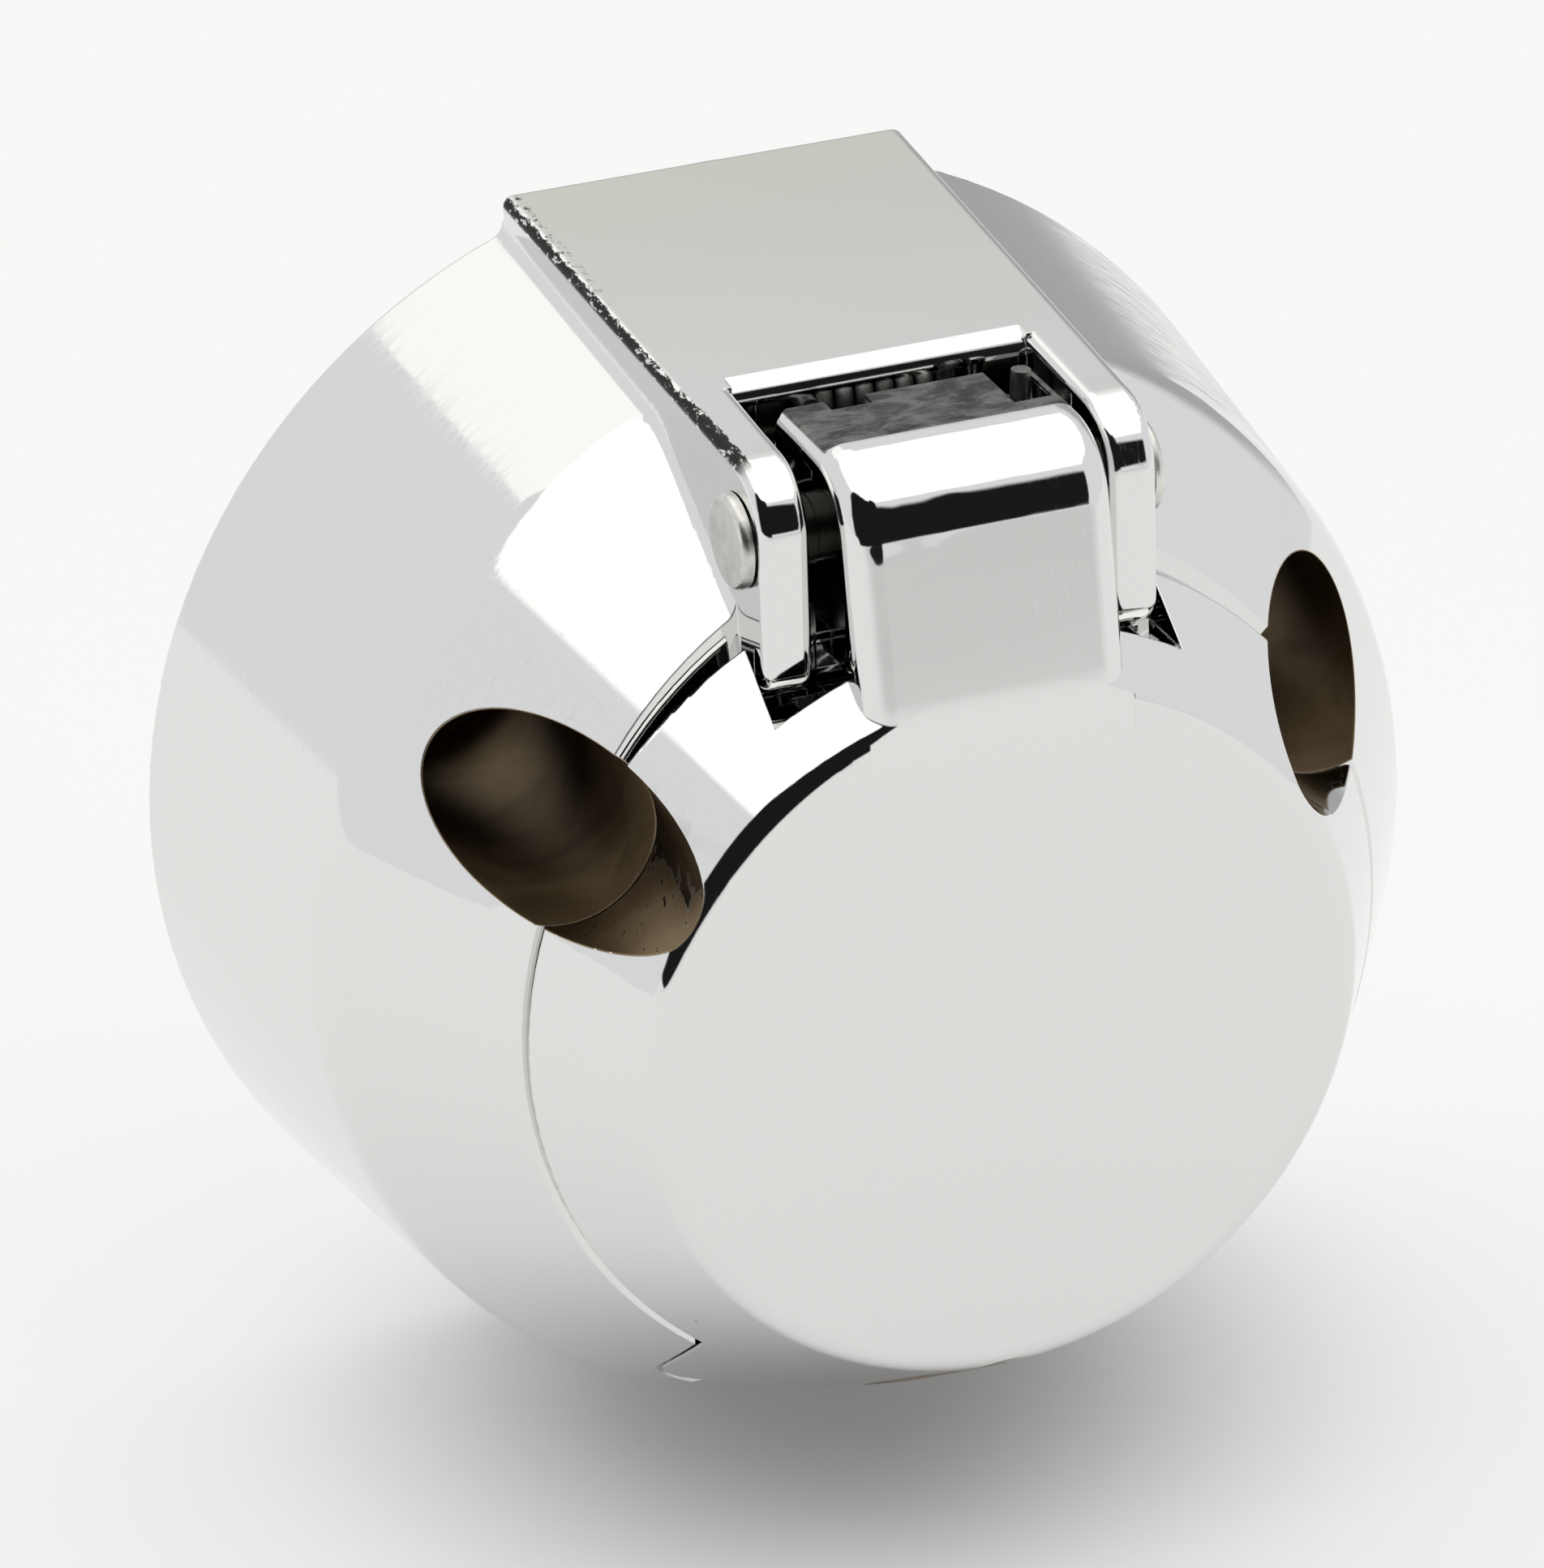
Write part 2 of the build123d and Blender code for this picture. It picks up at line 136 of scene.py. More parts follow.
# Roughness of each surface, and how metallic the housing's screw bores are
CHROME_ROUGHNESS = 0.03
SMUDGE_ROUGHNESS = 0.035
HAIRLINE_ROUGHNESS = 0.12
LID_BORE_ROUGHNESS = 0.34
HOUSING_BORE_ROUGHNESS = 0.40
CAST_ROUGHNESS = 0.22
POLISH_ROUGHNESS = 0.11
BURNISHED_ROUGHNESS = 0.16
BLOCK_TOP_ROUGHNESS = 0.13
CRUST_ROUGHNESS = 0.35
RIVET_ROUGHNESS = 0.26
GAP_ROUGHNESS = 0.38
BRASS_ROUGHNESS = 0.2
SPRING_ROUGHNESS = 0.28
SCREW_ROUGHNESS = 0.3
PLASTIC_ROUGHNESS = 0.5
RUBBER_ROUGHNESS = 0.72
BORE_METALLIC = 0.82

# Heights of the bumps and radius of the softened edges, in metres
WAVE_HEIGHT = 0.000014
RIPPLE_HEIGHT = 0.0000012
HAND_FINISH_HEIGHT = 0.00004
PIT_HEIGHT = 0.00004
CAST_HEIGHT = 0.00007
CRUST_HEIGHT = 0.00012
GROOVE_HEIGHT = 0.000004
BRUSHING_HEIGHT = 0.000006
PLASTIC_GRAIN_HEIGHT = 0.00001
RUBBER_GRAIN_HEIGHT = 0.000015
SOFT_EDGE_RADIUS = 0.00015

# Where each finish and each painted shade starts and where it is complete, in metres: heights along Z,
# sides along X, depths forwards from the mounting face, except the hand finish, whose depths are along Y.
# Facing has no unit.
HAND_FINISH_HEIGHTS = (0.0265, 0.0325)
HAND_FINISH_DEPTHS = (-0.0350, -0.0385)
BARE_METAL_HEIGHTS = (0.0128, 0.0116)
BARE_METAL_WANDER = 0.007
LEFT_HALF = (0.002, -0.002)
LINE_BELOW_TOP = (0.00075, 0.0005)
# The edge line widens towards the front as painted shade
LINE_WIDENING_DEPTHS = (0.026, 0.036)
LINE_WIDTHS = (0.00040, 0.00075)
LINE_RAGGEDNESS = 0.0011
LINE_END_DEPTHS = (0.0392, 0.0375)
SMEAR_BAND = (0.0004, 0.0010, 0.0002)
SMEAR_DEPTHS = (0.020, 0.006)
# Where the drum's upper right is painted darker as shade
BURNISHED_SHADE_SIDE = (0.010, 0.024)
BURNISHED_SHADE_HEIGHTS = (-0.010, 0.006)
BLOCK_TOP_FACING = (0.990, 0.998)
BLOCK_TOP_HEIGHTS = (0.0345, 0.0350)
BLOCK_TOP_FADE_DEPTHS = (0.040, 0.004)


class Graph:
    """A node tree with short calls for the nodes that the materials share."""

    def __init__(self, tree):
        self.tree = tree
        tree.nodes.clear()

    def add(self, kind, inputs=None, **settings):
        node = self.tree.nodes.new(kind)
        for name, value in settings.items():
            setattr(node, name, value)
        for name, value in (inputs or {}).items():
            self.feed(node.inputs[name], value)
        return node

    def feed(self, socket, value):
        if isinstance(value, bpy.types.NodeSocket):
            self.tree.links.new(value, socket)
        elif value is not None:
            socket.default_value = value

    def math(self, operation, a, b=None, c=None):
        node = self.add("ShaderNodeMath", operation=operation)
        for index, value in enumerate((a, b, c)):
            if value is not None:
                self.feed(node.inputs[index], value)
        return node.outputs[0]

    def product(self, *values):
        result = values[0]
        for value in values[1:]:
            result = self.math("MULTIPLY", result, value)
        return result

    def ramp(self, value, start, end, low=0.0, high=1.0):
        """Smooth step of value from low at start to high at end."""
        node = self.add("ShaderNodeMapRange", interpolation_type="SMOOTHSTEP")
        for name, number in (("Value", value), ("From Min", start), ("From Max", end),
                             ("To Min", low), ("To Max", high)):
            self.feed(node.inputs[name], number)
        return node.outputs["Result"]

    def dot(self, vector, direction):
        node = self.add("ShaderNodeVectorMath", operation="DOT_PRODUCT")
        self.feed(node.inputs[0], vector)
        node.inputs[1].default_value = Vector(direction).normalized()
        return node.outputs["Value"]

    def scaled(self, vector, scale, turn=(0, 0, 0)):
        node = self.add("ShaderNodeMapping")
        self.feed(node.inputs["Vector"], vector)
        node.inputs["Rotation"].default_value = [radians(a) for a in turn]
        node.inputs["Scale"].default_value = scale
        return node.outputs["Vector"]

    def noise(self, vector, scale, detail=2.0, roughness=0.5, distortion=0.0):
        node = self.add("ShaderNodeTexNoise", {
            "Vector": vector, "Scale": scale, "Detail": detail,
            "Roughness": roughness, "Distortion": distortion})
        return node.outputs["Fac"]

    def cells(self, vector, scale):
        return self.add("ShaderNodeTexVoronoi", {"Vector": vector, "Scale": scale}).outputs

    def place(self):
        return self.add("ShaderNodeTexCoord").outputs["Object"]

    def coordinates(self, vector):
        return self.add("ShaderNodeSeparateXYZ", {"Vector": vector}).outputs

    def mix(self, factor, a, b):
        node = self.add("ShaderNodeMix", data_type="RGBA")
        self.feed(node.inputs["Factor"], factor)
        self.feed(node.inputs[6], a if not isinstance(a, tuple) else (*a, 1.0))
        self.feed(node.inputs[7], b if not isinstance(b, tuple) else (*b, 1.0))
        return node.outputs[2]

    def blend(self, factor, a, b):
        node = self.add("ShaderNodeMix", data_type="FLOAT")
        self.feed(node.inputs["Factor"], factor)
        self.feed(node.inputs[2], a)
        self.feed(node.inputs[3], b)
        return node.outputs[0]

    def bump(self, height, distance, strength=1.0, normal=None):
        node = self.add("ShaderNodeBump")
        self.feed(node.inputs["Height"], height)
        node.inputs["Distance"].default_value = distance
        self.feed(node.inputs["Strength"], strength)
        if normal is not None:
            self.feed(node.inputs["Normal"], normal)
        return node.outputs["Normal"]


# Studio

def region(g, azimuth, elevation, place, edge, power):
    """1 inside a rounded patch of the sky, 0 outside it; angles in degrees."""
    centre_azimuth, centre_elevation, half_width, half_height = place
    turn = g.math("SUBTRACT", azimuth, centre_azimuth)
    turn = g.math("WRAP", turn, 180.0, -180.0)
    u = g.math("ABSOLUTE", g.math("DIVIDE", turn, half_width))
    v = g.math("ABSOLUTE", g.math("DIVIDE", g.math("SUBTRACT", elevation, centre_elevation), half_height))
    reach = g.math("ADD", g.math("POWER", u, power), g.math("POWER", v, power))
    return g.ramp(reach, 1.0 + edge, 1.0 - edge)


def studio_light():
    """A pale tent with a bright ceiling and window, dark in its opening, shaded at the back right."""
    world = bpy.data.worlds.new("studio")
    bpy.context.scene.world = world
    world.use_nodes = True
    g = Graph(world.node_tree)
    direction = g.add("ShaderNodeTexCoord").outputs["Generated"]
    x, y, z = g.coordinates(direction)
    azimuth = g.math("DEGREES", g.math("ARCTAN2", x, y))
    folds = g.math("SUBTRACT", g.noise(direction, FOLD_SCALE, 3.0, 0.6), 0.5)
    azimuth = g.math("ADD", azimuth, g.product(folds, FOLD_DEPTH))
    elevation = g.math("ADD", g.math("DEGREES", g.math("ARCSINE", z)), g.product(folds, FOLD_DEPTH))
    shade = region(g, azimuth, elevation, SHADE_PLACE, 0.8, 2.0)
    level = g.blend(shade, WALLS, WALLS * SHADE_SHARE)
    window = region(g, azimuth, elevation, WINDOW_PLACE, 0.15, 6.0)
    level = g.blend(window, level, WINDOW)
    ceiling = g.ramp(elevation, CEILING_EDGE - CEILING_EDGE_SOFTNESS,
                     CEILING_EDGE + CEILING_EDGE_SOFTNESS)
    level = g.blend(ceiling, level, CEILING)
    opening = region(g, azimuth, elevation, OPENING_PLACE, 0.10, 3.5)
    level = g.blend(opening, level, OPENING)
    tint = g.mix(g.math("MAXIMUM", ceiling, window), WALL_TINT, CEILING_TINT)
    seen = g.add("ShaderNodeLightPath").outputs["Is Camera Ray"]
    level = g.blend(seen, level, BACKDROP)
    tint = g.mix(seen, tint, BACKDROP_TINT)
    background = g.add("ShaderNodeBackground", {"Color": tint, "Strength": level})
    output = g.add("ShaderNodeOutputWorld")
    g.feed(output.inputs["Surface"], background.outputs[0])


def floor_glow(g, place):
    """How much the sheet glows: less in a painted contact shadow where the object stands over it, and
    less towards the front as painted shade.
    """
    x, y, _ = g.coordinates(place)
    along = g.math("ADD", y, PAINTED_SHADOW_CENTRE_DEPTH)
    distance = g.math("SQRT", g.math("ADD", g.product(x, x), g.product(along, along)))
    # Painted contact shadow under the socket
    outside_painted_shadow = g.ramp(distance, *PAINTED_SHADOW_RADIUS, PAINTED_SHADOW_SHARE, 1.0)
    # Painted shade towards the front
    front = g.ramp(y, *FRONT_SHADE_FADE, 1.0, FRONT_SHADE_SHARE)
    return g.product(outside_painted_shadow, front, GLOW)


def pale_floor():
    """Round sheet of lit white acrylic."""
    mesh = bpy.data.meshes.new("floor")
    turns = [radians(360 * i / FLOOR_SIDES) for i in range(FLOOR_SIDES)]
    rim = [(FLOOR_RADIUS * cos(turn), FLOOR_RADIUS * sin(turn), 0) for turn in turns]
    mesh.from_pydata(rim, [], [tuple(range(FLOOR_SIDES))])
    floor = bpy.data.objects.new("floor", mesh)
    bpy.context.scene.collection.objects.link(floor)
    floor.location = (0, 0, FLOOR_HEIGHT)
    material, g, shader = new_material("floor_acrylic")
    shader.inputs["Base Color"].default_value = FLOOR_TONE
    shader.inputs["Emission Color"].default_value = GLOW_TONE
    g.feed(shader.inputs["Emission Strength"], floor_glow(g, g.place()))
    shader.inputs["Roughness"].default_value = FLOOR_ROUGHNESS
    mesh.materials.append(material)


def camera():
    """Seen from the front left and above, a long lens with a slight roll."""
    data = bpy.data.cameras.new("camera")
    data.sensor_width = SENSOR_WIDTH
    data.lens = LENS
    data.clip_start = 0.01
    data.clip_end = 20.0
    view = Vector(CAMERA_VIEW).normalized()
    right = Vector(CAMERA_RIGHT)
    right = (right - view * right.dot(view)).normalized()
    up = right.cross(view)
    placed = Matrix((right, up, -view)).transposed().to_4x4()
    placed.translation = CAMERA_PLACE
    eye = bpy.data.objects.new("camera", data)
    eye.matrix_world = placed
    bpy.context.scene.collection.objects.link(eye)
    bpy.context.scene.camera = eye


# Materials

def new_material(name):
    material = bpy.data.materials.new(name)
    material.use_nodes = True
    g = Graph(material.node_tree)
    shader = g.add("ShaderNodeBsdfPrincipled")
    output = g.add("ShaderNodeOutputMaterial")
    g.feed(output.inputs["Surface"], shader.outputs[0])
    return material, g, shader


def fixing_points():
    radius = FIXING_CIRCLE_RADIUS
    return [(radius * cos(radians(a)), radius * sin(radians(a))) for a in FIXING_ANGLES]


def near_axis(g, x_coord, z_coord, x, z, radius, softness):
    """1 within radius of an axis along Y, 0 outside it."""
    dx = g.math("SUBTRACT", x_coord, x)
    dz = g.math("SUBTRACT", z_coord, z)
    distance = g.math("SQRT", g.math("ADD", g.product(dx, dx), g.product(dz, dz)))
    return g.ramp(distance, radius + softness, radius)


def scratches(g, place, turn, density, length_scale):
    """Thin straight hairlines along one direction, 0 to 1."""
    stretched = g.scaled(place, (density, density, length_scale), turn)
    lines = g.noise(stretched, 1.0, 1.0, 0.4)
    return g.ramp(g.math("ABSOLUTE", g.math("SUBTRACT", lines, 0.5)), 0.0, 0.012, 1.0, 0.0)


def soft_edges(g, radius):
    return g.add("ShaderNodeBevel", {"Radius": radius}, samples=6).outputs["Normal"]


def band(g, value, low, high, softness):
    """1 between low and high, 0 outside."""
    rising = g.ramp(value, low - softness, low + softness)
    falling = g.ramp(value, high + softness, high - softness)
    return g.product(rising, falling)


def hand_finish(g, place):
    """Uneven skin of the neck and cheeks, which no polishing wheel reaches, as a height."""
    _, y, z = g.coordinates(place)
    reached = g.product(g.ramp(z, *HAND_FINISH_HEIGHTS), g.ramp(y, *HAND_FINISH_DEPTHS))
    return g.product(g.noise(place, 260.0, 1.0, 0.45, 0.3), reached)


def plating(g, place):
    """What every plated surface shares: its normal, its roughness and where its few pits are."""
    waves = g.noise(place, 90.0, 1.5, 0.45)
    ripple = g.noise(place, 380.0, 2.0, 0.5)
    hairlines = g.math("MAXIMUM", scratches(g, place, (20, 35, 0), 900.0, 45.0),
                       scratches(g, place, (-50, 10, 70), 1200.0, 60.0))
    worn = g.ramp(g.noise(place, 60.0, 3.0), 0.46, 0.62)
    hairlines = g.product(hairlines, worn)
    cell = g.cells(place, 330.0)
    rare = g.ramp(g.dot(cell["Color"], (1, 1, 1)), 1.26, 1.30)
    pits = g.product(g.ramp(cell["Distance"], 0.05, 0.03), rare)
    smudge = g.ramp(g.noise(place, 130.0, 5.0, 0.6, 0.6), 0.45, 0.75)
    roughness = g.math("ADD", CHROME_ROUGHNESS, g.product(smudge, SMUDGE_ROUGHNESS))
    roughness = g.math("ADD", roughness, g.product(hairlines, HAIRLINE_ROUGHNESS))
    normal = soft_edges(g, SOFT_EDGE_RADIUS)
    normal = g.bump(waves, WAVE_HEIGHT, normal=normal)
    normal = g.bump(ripple, RIPPLE_HEIGHT, normal=normal)
    normal = g.bump(hand_finish(g, place), HAND_FINISH_HEIGHT, normal=normal)
    normal = g.bump(pits, PIT_HEIGHT, -1.0, normal=normal)
    return normal, roughness, pits


def bore_walls(g, x, z, depth):
    """1 on the walls and floors of the three screw access bores."""
    walls = 0.0
    for bore_x, bore_z in fixing_points():
        bore = near_axis(g, x, z, bore_x, bore_z, ACCESS_BORE_RADIUS + 0.00003, 0.00004)
        walls = g.math("MAXIMUM", walls, bore)
    return g.product(walls, g.ramp(depth, BORE_FLOOR_DEPTH - 0.0004, BORE_FLOOR_DEPTH - 0.0002))


def thin_plating(g, place):
    """Brown, blotchy metal where little chrome was thrown."""
    stain = g.ramp(g.noise(place, 150.0, 3.0, 0.55, 0.8), 0.3, 0.7)
    return g.mix(stain, BARE_DARK, BARE_PALE)


def lid_bare_metal(g, place, x, z):
    """1 low in the left half of the lid, apart from small chips: there the plating stopped short."""
    wander = g.math("SUBTRACT", g.noise(place, 420.0, 3.0, 0.6, 1.0), 0.5)
    wander = g.product(wander, BARE_METAL_WANDER)
    height = g.math("ADD", z, wander)
    chips = g.ramp(g.noise(place, 1900.0, 2.0, 0.5), 0.66, 0.70, 1.0, 0.0)
    left = g.ramp(x, *LEFT_HALF)
    return g.product(g.ramp(height, *BARE_METAL_HEIGHTS), chips, left)


def shaded_cast_roof(g, place, z, depth, colour, roughness, normal):
    """The colour, roughness and normal given, with the knuckle's roof rough as cast and painted dark as
    shade over a mottled cast skin.
    """
    on_roof = g.product(band(g, z, ROOF_HEIGHT - 0.0002, ROOF_HEIGHT + 0.0002, 0.00005),
                        g.ramp(depth, ROOF_FRONT_DEPTH, ROOF_FRONT_DEPTH - 0.0004))
    skin = g.ramp(g.noise(g.scaled(place, (0.5, 1.0, 1.0)), 900.0, 5.0, 0.65, 0.5), 0.35, 0.62)
    # Painted shade: the knuckle's roof is darkened in colour
    colour = g.mix(on_roof, colour, g.mix(skin, CAST_SKIN_SHADE_DARK, CAST_SKIN_SHADE_PALE))
    roughness = g.blend(on_roof, roughness, CAST_ROUGHNESS)
    relief = g.product(g.noise(place, 1400.0, 4.0, 0.6), on_roof)
    normal = g.bump(relief, CAST_HEIGHT, normal=normal)
    return colour, roughness, normal


def chrome_lid():
    material, g, shader = new_material("chrome_lid")
    place = g.place()
    x, y, z = g.coordinates(place)
    depth = g.math("MULTIPLY", y, -1.0)
    normal, roughness, pits = plating(g, place)
    colour = g.mix(pits, CHROME, PIT)
    bores = g.product(bore_walls(g, x, z, depth), lid_bare_metal(g, place, x, z))
    colour = g.mix(bores, colour, thin_plating(g, place))
    roughness = g.blend(bores, roughness, LID_BORE_ROUGHNESS)
    colour, roughness, normal = shaded_cast_roof(g, place, z, depth, colour, roughness, normal)
    g.feed(shader.inputs["Base Color"], colour)
    shader.inputs["Metallic"].default_value = 1.0
    g.feed(shader.inputs["Roughness"], roughness)
    g.feed(shader.inputs["Normal"], normal)
    return material


def crust_and_shade_line(g, place, x, z, depth):
    """Rough dark line along the block's upper left edge, 0 to 1, and its crust; the line is partly a
    crust left by the die and partly painted shade, widening towards the front.
    """
    half_width = g.math("SUBTRACT", BLOCK_HALF_WIDTH_REAR, g.product(depth, BLOCK_TAPER))
    from_flank = g.math("ADD", x, half_width)
    top = g.math("SUBTRACT", BLOCK_TOP_REAR, g.product(depth, BLOCK_TOP_SLOPE))
    below_top = g.math("SUBTRACT", top, z)
    near_top = g.ramp(below_top, *LINE_BELOW_TOP)
    crust = g.noise(g.scaled(place, (1.0, 0.45, 1.0)), 2600.0, 4.0, 0.65)
    width = g.ramp(depth, *LINE_WIDENING_DEPTHS, *LINE_WIDTHS)
    ragged = g.product(g.math("SUBTRACT", crust, 0.5), LINE_RAGGEDNESS)
    ragged = g.math("ADD", from_flank, ragged)
    inside = g.ramp(g.math("SUBTRACT", width, ragged), -0.00004, 0.00004)
    edge = g.product(inside, g.ramp(crust, 0.36, 0.44), g.ramp(depth, *LINE_END_DEPTHS))
    smear = band(g, from_flank, *SMEAR_BAND)
    smear = g.product(smear, g.ramp(g.noise(place, 1300.0, 4.0, 0.7), 0.53, 0.60),
                      g.ramp(depth, *SMEAR_DEPTHS))
    return g.product(g.math("MAXIMUM", edge, smear), near_top), crust


def drum_polish(g, x, z, depth):
    """Streaks that a polishing wheel left around the axis, 0 to 1."""
    angle = g.math("ARCTAN2", z, x)
    along = g.add("ShaderNodeCombineXYZ", {"X": g.product(angle, 9.0), "Y": g.product(depth, 2600.0)})
    streaks = g.noise(along.outputs[0], 1.0, 3.0, 0.6)
    return g.ramp(streaks, 0.35, 0.70)


def on_drum(g, x, z, depth):
    """1 on the outside of the drum, between the rear edge and the shoulder."""
    radius = g.math("SQRT", g.math("ADD", g.product(x, x), g.product(z, z)))
    outside = g.ramp(radius, SHOULDER_RADIUS - 0.0012, SHOULDER_RADIUS - 0.0004)
    behind_shoulder = g.ramp(depth, SHOULDER_DEPTH, SHOULDER_DEPTH - 0.004)
    return g.product(outside, behind_shoulder, g.ramp(depth, 0.0002, 0.0007))


def polished_and_shaded_drum(g, x, z, depth, colour, roughness):
    """The colour and roughness given, with the drum's streaks and its upper right streaked and painted
    darker as shade.
    """
    polish = drum_polish(g, x, z, depth)
    drum = on_drum(g, x, z, depth)
    roughness = g.math("ADD", roughness, g.product(polish, drum, POLISH_ROUGHNESS))
    # Painted shade: the drum's upper right is toned darker, with polishing streaks in it
    burnished_and_shaded = g.product(g.ramp(x, *BURNISHED_SHADE_SIDE), g.ramp(z, *BURNISHED_SHADE_HEIGHTS), drum)
    colour = g.mix(burnished_and_shaded, colour, g.mix(polish, BURNISHED_SHADE_BRIGHT, BURNISHED_SHADE_DULL))
    streaked = g.math("ADD", BURNISHED_ROUGHNESS, g.product(polish, 0.16))
    roughness = g.blend(burnished_and_shaded, roughness, streaked)
    return colour, roughness


def block_top(g, place, z, depth, colour, roughness):
    """The colour and roughness given, with the hinge block's sloping top cloudy in roughness and toned
    darker and warmer towards the rear.
    """
    facing_up = g.dot(g.add("ShaderNodeNewGeometry").outputs["True Normal"], BLOCK_TOP_NORMAL)
    on_top = g.product(g.ramp(facing_up, *BLOCK_TOP_FACING), g.ramp(z, *BLOCK_TOP_HEIGHTS))
    cloud = g.noise(place, 70.0, 4.0, 0.55, 0.4)
    clouded = g.math("ADD", BLOCK_TOP_ROUGHNESS, g.product(cloud, 0.12))
    roughness = g.blend(on_top, roughness, clouded)
    clouded_depth = g.math("ADD", depth, g.product(cloud, 0.012))
    towards_rear = g.ramp(clouded_depth, *BLOCK_TOP_FADE_DEPTHS)
    top_tone = g.mix(towards_rear, BLOCK_TOP_FRONT_TONE, BLOCK_TOP_REAR_TONE)
    colour = g.mix(on_top, colour, top_tone)
    return colour, roughness


def chrome_housing():
    material, g, shader = new_material("chrome_housing")
    place = g.place()
    x, y, z = g.coordinates(place)
    depth = g.math("MULTIPLY", y, -1.0)
    normal, roughness, pits = plating(g, place)
    colour = g.mix(pits, CHROME, PIT)
    colour, roughness = polished_and_shaded_drum(g, x, z, depth, colour, roughness)
    colour, roughness = block_top(g, place, z, depth, colour, roughness)
    line, crust = crust_and_shade_line(g, place, x, z, depth)
    # Partly crust, partly painted shade: the edge line is painted near black
    colour = g.mix(line, colour, CRUST_AND_SHADE)
    roughness = g.blend(line, roughness, CRUST_ROUGHNESS)
    normal = g.bump(g.product(line, crust), CRUST_HEIGHT, -1.0, normal=normal)
    bores = bore_walls(g, x, z, depth)
    colour = g.mix(bores, colour, thin_plating(g, place))
    roughness = g.blend(bores, roughness, HOUSING_BORE_ROUGHNESS)
    g.feed(shader.inputs["Base Color"], colour)
    g.feed(shader.inputs["Metallic"], g.blend(bores, 1.0, BORE_METALLIC))
    g.feed(shader.inputs["Roughness"], roughness)
    g.feed(shader.inputs["Normal"], normal)
    return material


def brushed_metal(name, bright, dull, roughness):
    """Turned or drawn metal with fine grooves along the hinge axis and worn patches."""
    material, g, shader = new_material(name)
    place = g.place()
    grooves = g.noise(g.scaled(place, (0.2, 1.0, 1.0)), 3000.0, 3.0, 0.6)
    patches = g.ramp(g.noise(place, 700.0, 4.0, 0.6), 0.35, 0.7)
    g.feed(shader.inputs["Base Color"], g.mix(patches, bright, dull))
    shader.inputs["Metallic"].default_value = 1.0
    g.feed(shader.inputs["Roughness"], g.math("ADD", roughness, g.product(patches, 0.15)))
    g.feed(shader.inputs["Normal"], g.bump(grooves, GROOVE_HEIGHT))
    return material


def rivet_steel():
    """Bright brushed heads on a shank that is painted black as shade where it runs between the cheeks."""
    material, g, shader = new_material("rivet_steel")
    place = g.place()
    x, _, _ = g.coordinates(place)
    # Painted shade: the shank between the cheeks is black
    in_gap_shade = g.ramp(g.math("ABSOLUTE", x), CHEEK_OUTER_HALF_WIDTH - 0.0004,
                   CHEEK_OUTER_HALF_WIDTH - 0.0008)
    patches = g.ramp(g.noise(place, 700.0, 4.0, 0.6), 0.35, 0.7)
    brushed = g.mix(patches, RIVET_BRIGHT, RIVET_DULL)
    g.feed(shader.inputs["Base Color"], g.mix(in_gap_shade, brushed, GAP_SHADE_BLACK))
    shader.inputs["Metallic"].default_value = 1.0
    roughness = g.math("ADD", RIVET_ROUGHNESS, g.product(patches, 0.12))
    g.feed(shader.inputs["Roughness"], g.blend(in_gap_shade, roughness, GAP_ROUGHNESS))
    brushing = g.noise(g.scaled(place, (1.0, 0.12, 1.0)), 5200.0, 3.0, 0.6)
    g.feed(shader.inputs["Normal"], g.bump(brushing, BRUSHING_HEIGHT))
    return material


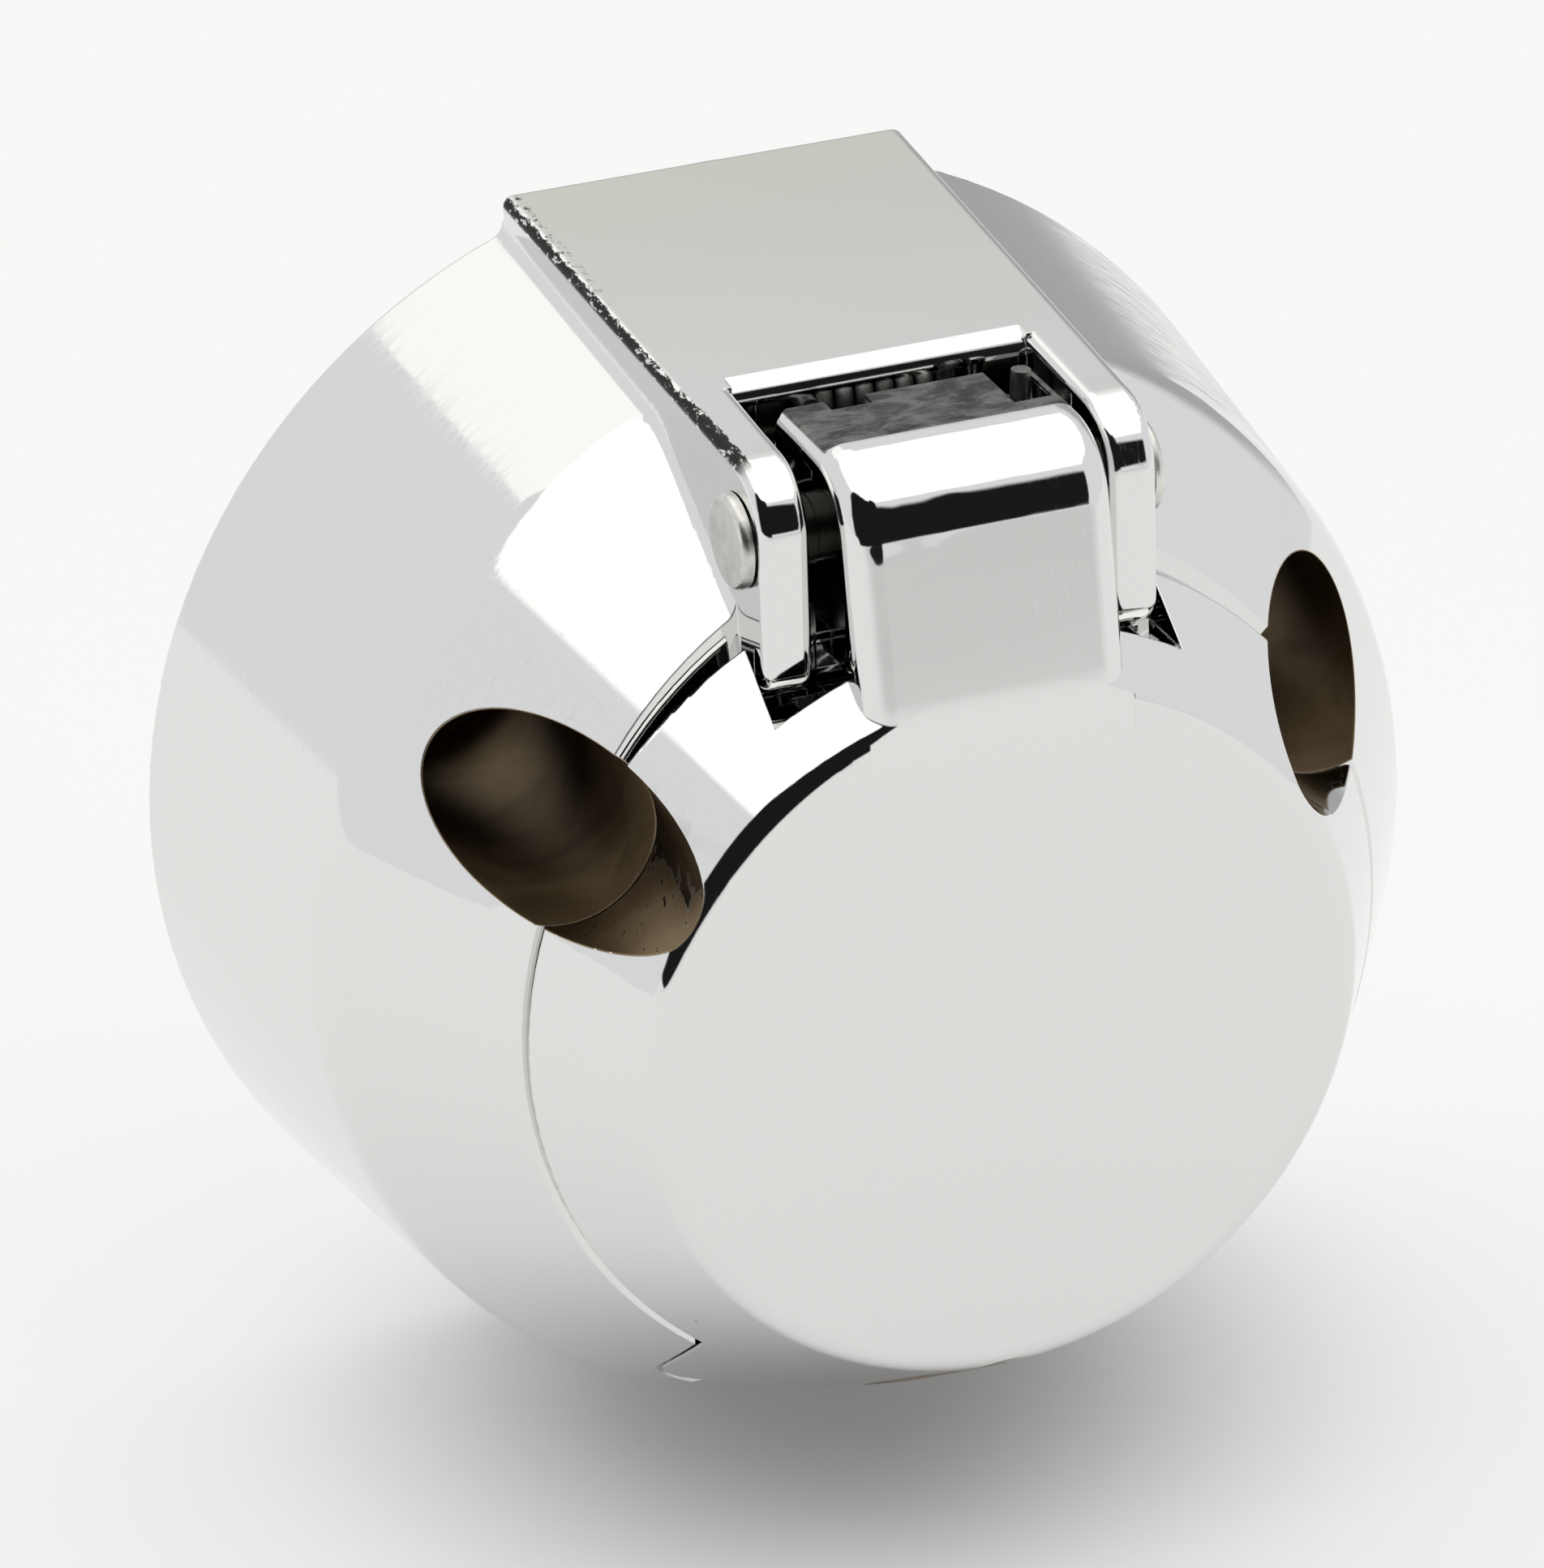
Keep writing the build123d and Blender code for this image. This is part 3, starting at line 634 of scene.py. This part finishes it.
def contact_brass():
    material, g, shader = new_material("contact_brass")
    place = g.place()
    turning = g.noise(g.scaled(place, (0.25, 3.0, 0.25)), 2500.0, 2.0)
    tarnish = g.ramp(g.noise(place, 420.0, 4.0, 0.6), 0.4, 0.75)
    g.feed(shader.inputs["Base Color"], g.mix(tarnish, BRASS, TARNISH))
    shader.inputs["Metallic"].default_value = 1.0
    g.feed(shader.inputs["Roughness"], g.math("ADD", BRASS_ROUGHNESS, g.product(tarnish, 0.18)))
    g.feed(shader.inputs["Normal"], g.bump(turning, GROOVE_HEIGHT))
    return material


def moulded(name, colour, worn, roughness, grain, height):
    """Plastic or rubber with a moulded grain and slightly paler rubbed places."""
    material, g, shader = new_material(name)
    place = g.place()
    texture = g.noise(place, grain, 3.0, 0.6)
    rubbed = g.ramp(g.noise(place, 180.0, 4.0, 0.6), 0.5, 0.8)
    g.feed(shader.inputs["Base Color"], g.mix(rubbed, colour, worn))
    g.feed(shader.inputs["Roughness"], g.math("SUBTRACT", roughness, g.product(rubbed, 0.12)))
    g.feed(shader.inputs["Normal"], g.bump(texture, height))
    return material


def finish_nodes():
    """Gives every CAD node its material."""
    made = {
        "housing": chrome_housing(),
        "lid": chrome_lid(),
        "hinge_pin": rivet_steel(),
        "lid_spring": brushed_metal("spring_steel", SPRING_BRIGHT, SPRING_DULL, SPRING_ROUGHNESS),
        "carrier_screws": brushed_metal("screw_steel", SCREW_BRIGHT, SCREW_DULL, SCREW_ROUGHNESS),
        "contact": contact_brass(),
        "contact_carrier": moulded("insert_plastic", PLASTIC, PLASTIC_RUBBED, PLASTIC_ROUGHNESS,
                                   2600.0, PLASTIC_GRAIN_HEIGHT),
        "rear_seal": moulded("seal_rubber", RUBBER, RUBBER_RUBBED, RUBBER_ROUGHNESS,
                             1800.0, RUBBER_GRAIN_HEIGHT),
    }
    made["terminal_screws"] = made["carrier_screws"]
    made["contact_clips"] = made["lid_spring"]
    made["lid_gasket"] = made["rear_seal"]
    made["carrier_gasket"] = made["rear_seal"]
    for name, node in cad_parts.items():
        material = made.get(name) or made["contact"]
        node.data.materials.clear()
        node.data.materials.append(material)


def twisting_spring():
    """The spring in its CAD shape, as a copy of its mesh that stands in for the CAD node."""
    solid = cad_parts["lid_spring"]
    spring = bpy.data.objects.new("closing_spring", solid.data.copy())
    bpy.context.scene.collection.objects.link(spring)
    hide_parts("lid_spring")
    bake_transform(spring)


def main():
    bpy.context.scene.view_settings.view_transform = "Standard"
    studio_light()
    pale_floor()
    camera()
    finish_nodes()
    twisting_spring()


main()
